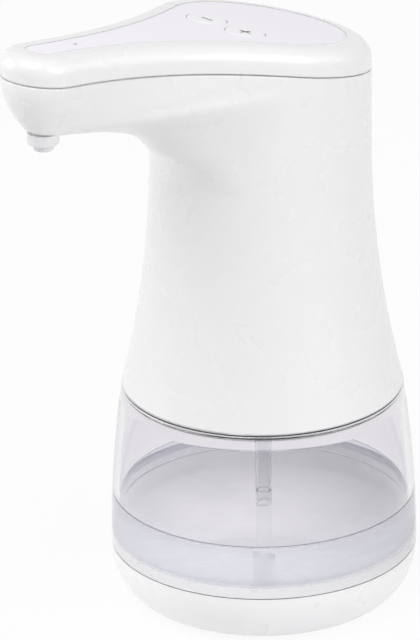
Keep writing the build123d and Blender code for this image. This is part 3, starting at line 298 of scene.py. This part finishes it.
def clear(name, colour, ior, roughness=0.0, fade=None):
    """Clear plastic or liquid: a tinted body with faint flow marks in its surface.

    Shadow rays and diffuse bounces pass straight through it, so that what stands inside is lit as
    it is in thin clear plastic. fade holds a second tint, and the height or the distance from the
    axis over which the first goes over to it.
    """
    made, surface, at, place = new_material(name)
    surface.inputs["Transmission Weight"].default_value = 1.0
    surface.inputs["IOR"].default_value = ior
    flow = at.node("ShaderNodeTexNoise", {"Vector": place, "Scale": 25.0, "Detail": 1.0})
    tint = at.blend(flow, colour, [value * 0.985 for value in colour])
    if fade:
        measure, start, end, other = fade
        tint = at.blend(graded(at, place, measure, start, end), tint, other)
    at.feed(surface.inputs["Base Color"], tint)
    at.feed(surface.inputs["Roughness"], flow * 0.01 + roughness)
    bump = at.node("ShaderNodeBump", {"Distance": 0.00006, "Height": flow})
    at.feed(surface.inputs["Normal"], bump)
    shadow = at.node("ShaderNodeLightPath", output="Is Shadow Ray")
    bounce = at.node("ShaderNodeLightPath", output="Is Diffuse Ray")
    passed = at.node("ShaderNodeBsdfTransparent")
    body = Signal(at.tree, surface.outputs["BSDF"])
    skipped = at.maths("MAXIMUM", shadow, bounce)
    mixed = at.node("ShaderNodeMixShader", {0: skipped, 1: body, 2: passed})
    at.feed(at.tree.nodes["Material Output"].inputs["Surface"], mixed)
    return made


underside_flat = foot_radius - 0.004
side_low, side_high = foot_top + 0.0006, shoulder - 0.0012
inner_low, inner_high = floor_top + 0.0035, shoulder - 0.0042
floor_draft = 0.0001
floor_corner = (foot_radius - wall - floor_round - floor_draft, floor_top + floor_round)
outer_shoulder = (shoulder_radius - shoulder_round[0], shoulder - shoulder_round[1])
inner_shoulder = (shoulder_radius - wall - inner_shoulder_round, shoulder - 2 * inner_shoulder_drop)
tank_profile = path(
    (0, foot_top),
    (underside_flat, foot_top),
    arc((foot_radius - joint_round, foot_top + joint_round), joint_round, -90, 0, 8),
    tank_side(0, side_low, side_high, 40),
    arc(outer_shoulder, shoulder_round, 5, 90, 8),
    (neck_radius, shoulder),
    (neck_radius, neck_top - lip_round),
    arc((neck_radius - lip_round, neck_top - lip_round), lip_round, 5, 90, 5),
    arc((neck_inner + lip_round, neck_top - lip_round), lip_round, 90, 180, 5),
    (neck_inner, shoulder - inner_shoulder_drop),
    arc(inner_shoulder, inner_shoulder_round, 80, 10, 8),
    tank_side(wall, inner_low, inner_high, 34)[::-1],
    arc(floor_corner, floor_round, -10, -90, 10),
    (floor_middle, floor_top),
    (0, floor_top),
)
# Painted shade: above the soap the tank's tint goes over to a darker lilac grey.
painted_upper_shade = ("height", soap_top - 0.002, soap_top + 0.006, (0.885, 0.872, 0.895))
tank_clear = clear("tank_clear", (0.955, 0.952, 0.975), 1.46, fade=painted_upper_shade)
tank_grid = turned(tank_profile, 480)
finish_skin("tank_shell", tank_grid, "reservoir", tank_clear, ["tank"])

# Soap: what is left in the tank, up to a third of its height. It wets the wall and climbs it a
# little, and its skin lies just inside the plastic, so that no air shows between the two.
soap_overlap = 0.00012
soap_creep = 0.0016
soap_round = floor_round + soap_overlap
soap_inset = wall - soap_overlap
soap_low, soap_high = floor_top + 0.004, soap_top + 0.7 * soap_creep
soap_edge = tank_side(soap_inset, soap_top, soap_top, 1)[0, 0]
soap_profile = path(
    (0, floor_top - soap_overlap),
    (floor_middle, floor_top - soap_overlap),
    arc(floor_corner, soap_round, -90, -10, 10),
    tank_side(soap_inset, soap_low, soap_high, 24),
    arc((soap_edge - soap_creep, soap_top + soap_creep), soap_creep, -12, -90, 14),
    (floor_middle, soap_top),
    (0, soap_top),
)
# Painted shade: towards its rim the soap's tint goes over to a bluish grey.
painted_rim_shade = ("radius", 0.026, 0.0435, (0.86, 0.865, 0.915))
soap_clear = clear("soap_clear", (0.998, 0.998, 1.0), 1.34, fade=painted_rim_shade)
finish_skin("soap_fill", turned(soap_profile, 480), "reservoir", soap_clear)

# Rim shade ring: a dark ring under the head's rim that paints the shade in the gap between the head
# and the tank's shoulder. It shows there as a dark line.
head_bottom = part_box("main_housing")[0][2]
shade_ring_play = 0.00005
shade_ring_inner = neck_radius + 0.0006
shade_ring_outer = shoulder_radius - 0.0001
shade_ring_low = shoulder + shade_ring_play
shade_ring_high = head_bottom - shade_ring_play
shade_ring_profile = [
    (shade_ring_inner, shade_ring_low),
    (shade_ring_outer, shade_ring_low),
    (shade_ring_outer, shade_ring_high),
    (shade_ring_inner, shade_ring_high),
]
shade_ring_dark = moulded("shade_ring_dark", (0.05, 0.05, 0.055), 0.7, grain=2500.0)
finish_skin("rim_shade_ring", turned(shade_ring_profile), "head", shade_ring_dark)

# Bulkhead, seal and grommet: the floor of the head, which plugs the tank's neck, and the soft
# pieces that seal it, the tube, the hose and the nozzle.
dress(moulded("bulkhead_white", (0.9, 0.9, 0.9), 0.4), "bulkhead")
soft_silicone = moulded("soft_silicone", (0.75, 0.76, 0.78), 0.5, grain=2000.0)
dress(soft_silicone, "tank_seal", "tube_grommet", "nozzle_valve", "outlet_hose")

# Dip tube: a milky extruded tube on the tank's axis, cut slantwise at its foot so that it can't suck
# itself shut. A moulded elbow leads from it to the pump, and another one down into the nozzle.
tube_low, tube_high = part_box("dip_tube")
tube_radius = tube_high[0]
tube_bore = 0.0017
tube_bevel = 0.0016


def tube_grid(columns=64):
    """Wall of the tube: outside up, inside down, with both lower rings tilted to the slant cut."""
    turn = np.linspace(0, 2 * pi, columns, endpoint=False)
    climb = np.linspace(0, 1, 24)[:, None]
    sides = []
    for radius in (tube_radius, tube_bore):
        cut = tube_low[2] + tube_bevel * (np.sin(turn) * radius / tube_radius + 1) / 2
        height = cut + (tube_high[2] - cut) * climb
        grids = np.broadcast_arrays(radius * np.cos(turn), radius * np.sin(turn), height)
        sides.append(np.stack(grids, axis=-1))
    return np.concatenate([sides[0], sides[1][::-1]])


tube_milky = clear("tube_milky", (0.93, 0.93, 0.95), 1.4, roughness=0.12)
finish_skin("suction_tube", tube_grid(), "head", tube_milky, ["dip_tube"])
dress(moulded("elbow_plastic", (0.62, 0.63, 0.65), 0.4), "inlet_elbow", "nozzle_elbow")

# Gear pump: two meshing gears in a body of two plates. The motor drives one from above by its shaft,
# and the other turns on a pin.
dress(moulded("pump_plastic", (0.78, 0.78, 0.74), 0.4), "pump_cover", "pump_body")
dress(moulded("gear_plastic", (0.86, 0.84, 0.76), 0.35), "drive_gear", "idler_gear")
shaft_steel = plated("shaft_steel", (0.7, 0.7, 0.7), 0.2, brushed=(1.0, 1.0, 0.1))
dress(shaft_steel, "motor_shaft", "idler_pin", "door_pin")
dress(plated("can_steel", (0.6, 0.6, 0.61), 0.35, brushed=(0.1, 0.1, 1.0)), "pump_motor")

# Boards, switches and sensor: green laminate with black parts. A dark window under the spout covers
# the sensor, and a small light guide brings the pilot light up to the surface.
green = (0.03, 0.2, 0.09)
laminate_green = moulded("laminate_green", green, 0.3, grain=1500.0, depth=0.00001, patch=0.2)
dress(laminate_green, "control_board", "led_board", "sensor_board")
dress(moulded("part_black", (0.03, 0.03, 0.035), 0.4), "key_switches", "board_parts", "motor_cap")
dress(moulded("window_dark", (0.02, 0.012, 0.018), 0.08, coat=0.6), "sensor_window", "ir_pair")
dress(moulded("lens_grey", (0.2, 0.2, 0.21), 0.15), "led_lens", "status_led")

# Battery compartment: a box for four upright cells above the bulkhead, with plated contacts, and a
# door on a pin that is reached with the head lifted off.
dress(moulded("box_plastic", (0.6, 0.61, 0.63), 0.45), "battery_box", "battery_door")
dress(moulded("cell_wrap", (0.08, 0.09, 0.1), 0.25, coat=0.5), "battery_cells")
dress(plated("contact_nickel", (0.72, 0.7, 0.66), 0.25), "battery_contacts", "door_contacts")

# Housing: the white moulded shell that flares down to the tank and grows forward into the spout. It
# stands round the bulkhead and is cut off above by the roof's long arc, where the cover's seam lies.
root_rise = 0.07
root_height = head_bottom + root_rise
body_radius = 0.03315
rim_radius = shoulder_radius
tip_reach = 0.1017
tip_radius = 0.012
blend_height = 0.054
flare_height = 0.075
flare_drop = rim_radius - body_radius
flare_arc = (flare_height**2 + flare_drop**2) / (2 * flare_drop)

# Each level of the head is one plan outline: a round body, two curved flanks and a round tip. A row
# gives the level's height, the tip's reach, its radius (1 is the body's, 0 is tip_radius), and the
# angles where the flanks leave the two rounds.
spout_levels = np.array([
    (0.000, 0.000, 1.000, 50, 64),
    (0.074, 0.010, 0.920, 50, 63),
    (0.148, 0.040, 0.660, 49, 60),
    (0.222, 0.088, 0.360, 47, 57),
    (0.296, 0.150, 0.100, 43, 54),
    (0.407, 0.238, -0.120, 36, 48),
    (0.500, 0.370, -0.260, 30, 38),
    (0.574, 0.538, -0.300, 26, 30),
    (0.626, 0.700, -0.310, 25, 24),
    (0.678, 0.872, -0.320, 26, 16),
    (0.741, 0.930, -0.260, 26.5, 12),
    (0.833, 0.972, -0.120, 27, 4),
    (0.944, 0.998, -0.020, 27.5, -1),
    (1.060, 1.000, 0.000, 27.5, -1.6),
    (1.280, 1.000, 0.000, 27.5, -1.6),
])

# Below the first of these levels the body is round, down to the rim on the tank.
flare_levels = np.array([(climb - 1, 0, 1, 50, 64) for climb in (0.0, 0.2, 0.4, 0.6, 0.8)])
flare_levels[:, 0] *= root_rise / blend_height
levels = np.vstack([flare_levels, spout_levels])
last_flare = len(flare_levels) - 1

roof_arc = 1.150
roof_slope = radians(13.2)
roof_rise = 0.0359
roof_height = root_height + roof_rise
roof_centre = (-roof_arc * sin(roof_slope), roof_height - roof_arc * cos(roof_slope))
seam_gap = 0.000125
shell_rows = 190


def flare_radius(height, inset=0.0):
    """Radius of the body: an arc that runs out upright at the top of the flare."""
    rise = np.maximum(head_bottom + flare_height - height, 0)
    return body_radius + flare_arc - np.sqrt((flare_arc + inset) ** 2 - rise**2)


def level_at(step, inset):
    """Height and outline sizes at a place along the table, by a smooth cubic through its rows.

    Above the flare a drawn-in form is also lifted by inset, which gives the spout's underside
    its wall.
    """
    step = np.clip(step, 0, len(levels) - 1.0001)
    row = step.astype(int)
    part = (step - row)[..., None]
    rows = [np.clip(row + hop, 0, len(levels) - 1) for hop in (-1, 0, 1, 2)]
    before, here, there, beyond = [levels[near] for near in rows]
    slope_here = (there - before) / 2
    slope_there = (beyond - here) / 2
    square, cube = part**2, part**3
    sizes = (2 * cube - 3 * square + 1) * here + (cube - 2 * square + part) * slope_here
    sizes = sizes + (3 * square - 2 * cube) * there + (cube - square) * slope_there
    height = root_height + sizes[..., 0] * blend_height + inset * np.clip(step - last_flare, 0, 1)
    return height, sizes


curve_steps = (112, 44, 48, 44)
grip_share = 0.36
side = np.concatenate([np.full(count, number) for number, count in enumerate(curve_steps)])
share = np.concatenate([np.arange(count) / count for count in curve_steps])


def outline(radius, reach, tip, root_angle, tip_angle):
    """Plan outline with one point for every column.

    It has four curves: back arc, left flank, tip arc, right flank. side numbers them, and share is
    the column's place along its curve. A flank is a cubic whose grips point along both arcs, and
    the right flank is the left one mirrored.
    """
    at_root, at_tip = np.radians(root_angle), np.radians(tip_angle)
    root = np.stack([radius * np.cos(at_root), -radius * np.sin(at_root)], axis=-1)
    end = np.stack([tip * np.cos(at_tip), tip - reach - tip * np.sin(at_tip)], axis=-1)
    grip = grip_share * np.linalg.norm(root - end, axis=-1)[..., None]
    root_grip = root + grip * np.stack([-np.sin(at_root), -np.cos(at_root)], axis=-1)
    end_grip = end + grip * np.stack([np.sin(at_tip), np.cos(at_tip)], axis=-1)
    along = np.where(side == 1, share, 1 - share)[..., None]
    rest = 1 - along
    flank = rest**3 * root + 3 * rest**2 * along * root_grip
    flank = flank + 3 * rest * along**2 * end_grip + along**3 * end
    flank = flank * np.stack([np.where(side == 1, -1.0, 1.0), np.ones_like(share)], axis=-1)
    back = -at_root + share * (pi + 2 * at_root)
    front = pi + at_tip + share * (pi - 2 * at_tip)
    back_arc = np.stack([radius * np.cos(back), radius * np.sin(back)], axis=-1)
    tip_arc = np.stack([tip * np.cos(front), tip - reach + tip * np.sin(front)], axis=-1)
    chosen = side[..., None]
    return np.where(chosen == 0, back_arc, np.where(chosen == 2, tip_arc, flank))


def head_surface(step, inset):
    """Points of the head's form at a place along the table, drawn in by inset, for every column."""
    height, sizes = level_at(step, inset)
    radius = flare_radius(height, inset)
    reach = radius + sizes[..., 1] * (tip_reach - body_radius)
    tip = radius + (1 - sizes[..., 2]) * (tip_radius - body_radius)
    plan = outline(radius, reach, tip, sizes[..., 3], sizes[..., 4])
    return np.concatenate([plan, height[..., None]], axis=-1)


def roof(y, rise):
    """Height of the roof arc over a place, lifted by rise."""
    return roof_centre[1] + np.sqrt((roof_arc + rise) ** 2 - (y - roof_centre[0]) ** 2)


def seam_step(rise, inset):
    """Where the form meets the lifted roof: the place along the table, for every column.

    It is found by halving the stretch between the flare and the table's end.
    """
    low = np.full(len(side), float(last_flare))
    high = np.full(len(side), len(levels) - 1.001)
    for halving in range(40):
        middle = (low + high) / 2
        point = head_surface(middle, inset)
        above = point[..., 2] > roof(point[..., 1], rise)
        high = np.where(above, middle, high)
        low = np.where(above, low, middle)
    return (low + high) / 2


def head_rows(inset):
    """Rows of the head's form from its lower rim up to the seam."""
    top = seam_step(-seam_gap, inset)
    climb = np.linspace(0, 1, shell_rows)[:, None]
    return head_surface(climb * top, inset)


white = (0.84, 0.838, 0.845)
housing_white = moulded(
    "housing_white", white, 0.28, grain=1400.0, depth=0.000012, patch=0.012, coat=0.3
)
housing_grid = np.concatenate([head_rows(0.0), head_rows(wall)[::-1]])
finish_skin(
    "housing_shell", housing_grid, "head", housing_white, ["main_housing"]
)

# Top cover: the moulded lid above the seam, of the housing's own white plastic. Its edge is rounded
# over, and a flat recess with a small round at its rim holds the panel.
cover_height = 0.0084
edge_radius = 0.0052
recess_depth = 0.0012
recess_round = 0.0002
panel_inset = 0.0074
rim_margin = 0.0003
top_wall = 0.0026


def cover_row(inset, rise, squeeze=1.0):
    """One row of the cover: the top outline drawn in by inset, on the roof arc lifted by rise.

    squeeze narrows the row towards the middle line.
    """
    full = np.ones_like(share)
    sizes = [(size - inset) * full for size in (body_radius, tip_reach, tip_radius)]
    plan = outline(*sizes, *(levels[-1, 3:, None] * full))
    x, y = plan[..., 0] * squeeze, plan[..., 1]
    return np.stack([x, y, roof(y, rise)], axis=-1)


cover_rows = [cover_row(0, rise) for rise in np.linspace(seam_gap, cover_height - edge_radius, 8)]
cover_rows += [
    cover_row(edge_radius * (1 - cos(turn)), cover_height - edge_radius * (1 - sin(turn)))
    for turn in np.radians(np.linspace(5, 90, 18))
]
rim_insets = np.linspace(edge_radius + rim_margin, panel_inset - rim_margin, 5)
cover_rows += [cover_row(inset, cover_height) for inset in rim_insets]
cover_rows += [
    cover_row(panel_inset - recess_round * cos(turn), cover_height - recess_round * (1 - sin(turn)))
    for turn in np.radians([90, 60, 30, 0])
]
recess_floor = cover_height - recess_depth
recess_levels = (cover_height - recess_depth / 2, recess_floor)
cover_rows += [cover_row(panel_inset, level) for level in recess_levels]
cover_rows += [cover_row(panel_inset, recess_floor, squeeze) for squeeze in (0.99, 0.7, 0.3, 0)]
ceiling = cover_height - top_wall
under_rows = [cover_row(wall, ceiling, squeeze) for squeeze in (0, 0.5, 0.95, 1)]
under_rows += [cover_row(wall, rise) for rise in (ceiling / 2, seam_gap)]
cover_grid = np.array(under_rows + cover_rows)
finish_skin("cover_shell", cover_grid, "head", housing_white, ["top_cover"])

# Control panel and keys: a fine matt plate in the recess, with a faint lilac tone, and two round keys
# that press in. Their signs are sunk and filled with grey. A dark ring in the gap round each key is
# painted shade.
fine_matt = {"roughness": 0.5, "grain": 1800.0, "depth": 0.000015, "patch": 0.01}
dress(moulded("panel_matt", (0.94, 0.91, 0.975), **fine_matt), "control_panel")
dress(moulded("key_matt", (0.935, 0.92, 0.955), **fine_matt), "minus_key", "plus_key")
key_forward = 0.014
key_side = 0.00785
key_radius = 0.006
key_gap = 0.0002
sign_length = 0.0046
sign_width = 0.0009
sign_floor = -0.00025
sign_top = -0.00013
sign_bevel = 0.00004
sign_top_share = 0.97
ring_play = 0.00002
ring_low = -0.0009
ring_top = -0.00028
key_rise = 0.0085
lid_arc = roof_arc + key_rise
key_tilt = np.arcsin((-key_forward - roof_centre[0]) / lid_arc)
sign_grey = moulded("sign_grey", (0.02, 0.02, 0.022), 0.5, grain=2500.0)
shade_ring_grey = moulded("shade_ring_grey", (0.06, 0.06, 0.065), 0.6, grain=2500.0)


def on_keys(centre, x, y, rows):
    """Grid on the keys' plane: the outline x, y about a key's centre, at every row's size and level.

    The level counts along the plane's normal, and y climbs its slope.
    """
    grow, level = np.array(rows).T[:, :, None]
    y = y * grow
    back = -key_forward + y * cos(key_tilt) + level * sin(key_tilt)
    height = roof_centre[1] + lid_arc * cos(key_tilt) - y * sin(key_tilt) + level * cos(key_tilt)
    return np.stack([centre + x * grow, back, height], axis=-1)


half_width = sign_width / 2
sign_rows = [
    (0, sign_floor),
    (1, sign_floor),
    (1, sign_top - sign_bevel),
    (sign_top_share, sign_top),
    (0, sign_top),
]
ring_turn = np.linspace(0, 2 * pi, 96, endpoint=False)
ring_inner = key_radius + ring_play
ring_outer = key_radius + key_gap - ring_play
ring_rows = [
    (ring_inner, ring_low),
    (ring_outer, ring_low),
    (ring_outer, ring_top),
    (ring_inner, ring_top),
]
for name, centre, arms in (("minus", -key_side, (0, 180)), ("plus", key_side, (0, 90, 180, 270))):
    cap_x, cap_y = arc((sign_length / 2 - half_width, 0), half_width, -90, 90, 13).T
    if name == "plus":
        cap_x, cap_y = np.append(half_width, cap_x), np.append(-half_width, cap_y)
    turn = np.radians(arms)[:, None]
    sign_x = (cap_x * np.cos(turn) - cap_y * np.sin(turn)).ravel()
    sign_y = (cap_x * np.sin(turn) + cap_y * np.cos(turn)).ravel()
    sign = on_keys(centre, sign_x, sign_y, sign_rows)
    finish_skin(name + "_sign", sign, name + "_button", sign_grey)
    ring = on_keys(centre, np.cos(ring_turn), np.sin(ring_turn), ring_rows)
    finish_skin(name + "_shade_ring", ring, "head", shade_ring_grey)

# Nozzle: the stepped white outlet under the tip of the spout, moulded in one piece and pushed in from
# below. The soft valve inside keeps it from dripping.
dress(moulded("nozzle_white", (0.8, 0.8, 0.81), 0.3), "nozzle")

# Floor, background and lamps: a plain white sweep that keeps the object's soft shadow. It lies a hair
# under the pad, and shows as plain white wherever the view, a mirror image or a clear piece meets it.
floor_level = -0.00003
floor_half = 6.0
floor_glow = 0.92
world_light = 0.33
floor_mesh = bpy.data.meshes.new("floor")
floor_signs = ((-1, -1), (1, -1), (1, 1), (-1, 1))
floor_corners = [(x * floor_half, y * floor_half, floor_level) for x, y in floor_signs]
floor_mesh.from_pydata(floor_corners, [], [(0, 1, 2, 3)])
floor = bpy.data.objects.new("floor", floor_mesh)
bpy.context.scene.collection.objects.link(floor)
floor_white = bpy.data.materials.new("floor_white")
floor_white.use_nodes = True
floor_tree = floor_white.node_tree
floor_tree.nodes.remove(floor_tree.nodes["Principled BSDF"])
on_floor = Signal(floor_tree)


def seen(at):
    """1 for rays that are seen directly, in a mirror image or through a clear piece, else 0."""
    kinds = ("Is Camera Ray", "Is Glossy Ray", "Is Transmission Ray")
    direct, mirrored, through = [at.node("ShaderNodeLightPath", output=kind) for kind in kinds]
    return at.maths("MAXIMUM", direct, at.maths("MAXIMUM", mirrored, through))


matt = on_floor.node("ShaderNodeBsdfDiffuse", {"Color": (0.85, 0.85, 0.86, 1)})
plain = on_floor.node("ShaderNodeEmission", {"Color": (1, 1, 1, 1), "Strength": 1.0})
mixed = on_floor.node("ShaderNodeMixShader", {0: seen(on_floor) * floor_glow, 1: matt, 2: plain})
on_floor.feed(floor_tree.nodes["Material Output"].inputs["Surface"], mixed)
floor_mesh.materials.append(floor_white)

world = bpy.data.worlds.new("studio")
bpy.context.scene.world = world
world.use_nodes = True
around = Signal(world.node_tree)
backdrop = world.node_tree.nodes["Background"]
backdrop.inputs["Color"].default_value = (1, 1, 1, 1)
around.feed(backdrop.inputs["Strength"], seen(around) * (1.0 - world_light) + world_light)
lamp_aim = np.array([0, -0.02, 0.1])


def lamp(name, place, size, power):
    """Square soft lamp that looks at the dispenser. It isn't seen through clear pieces."""
    light = bpy.data.lights.new(name, "AREA")
    light.size = size
    light.energy = power
    holder = bpy.data.objects.new(name, light)
    holder.location = place
    holder.visible_transmission = False
    look = lamp_aim - place
    holder.rotation_euler = (atan2(hypot(look[0], look[1]), -look[2]), 0, atan2(-look[0], look[1]))
    bpy.context.scene.collection.objects.link(holder)


lamp("front_lamp", (0.1, -0.9, 1.5), 1.2, 14.8)
lamp("right_lamp", (1.4, 0.1, 0.8), 0.9, 9.2)
lamp("left_lamp", (-1.3, -0.9, 0.5), 0.9, 8.4)
lamp("back_lamp", (1.1, 1.1, 0.7), 0.9, 2.1)

# Camera: the photograph's view, from the front right and above through a long lens, with a slight
# roll. Its sideways shift puts the tank's axis 52 pixels right of the middle, as it is there.
camera_distance = 2.2
azimuth = radians(44.0)
elevation = radians(23.3)
camera_roll = radians(0.55)
aim_height = 0.0881
photo_height = 640
axis_right = 52
camera = bpy.data.cameras.new("camera")
camera.lens = 412.7
camera.sensor_fit = "AUTO"
camera.sensor_width = 36.0
camera.shift_x = -axis_right / photo_height
viewer = bpy.data.objects.new("camera", camera)
viewer.location = (
    camera_distance * cos(elevation) * sin(azimuth),
    -camera_distance * cos(elevation) * cos(azimuth),
    aim_height + camera_distance * sin(elevation),
)
viewer.rotation_mode = "XYZ"
level_view = Euler((pi / 2 - elevation, 0, azimuth)).to_matrix()
viewer.rotation_euler = (level_view @ Matrix.Rotation(-camera_roll, 3, "Z")).to_euler()
bpy.context.scene.collection.objects.link(viewer)
bpy.context.scene.camera = viewer
bpy.context.scene.view_settings.view_transform = "Standard"
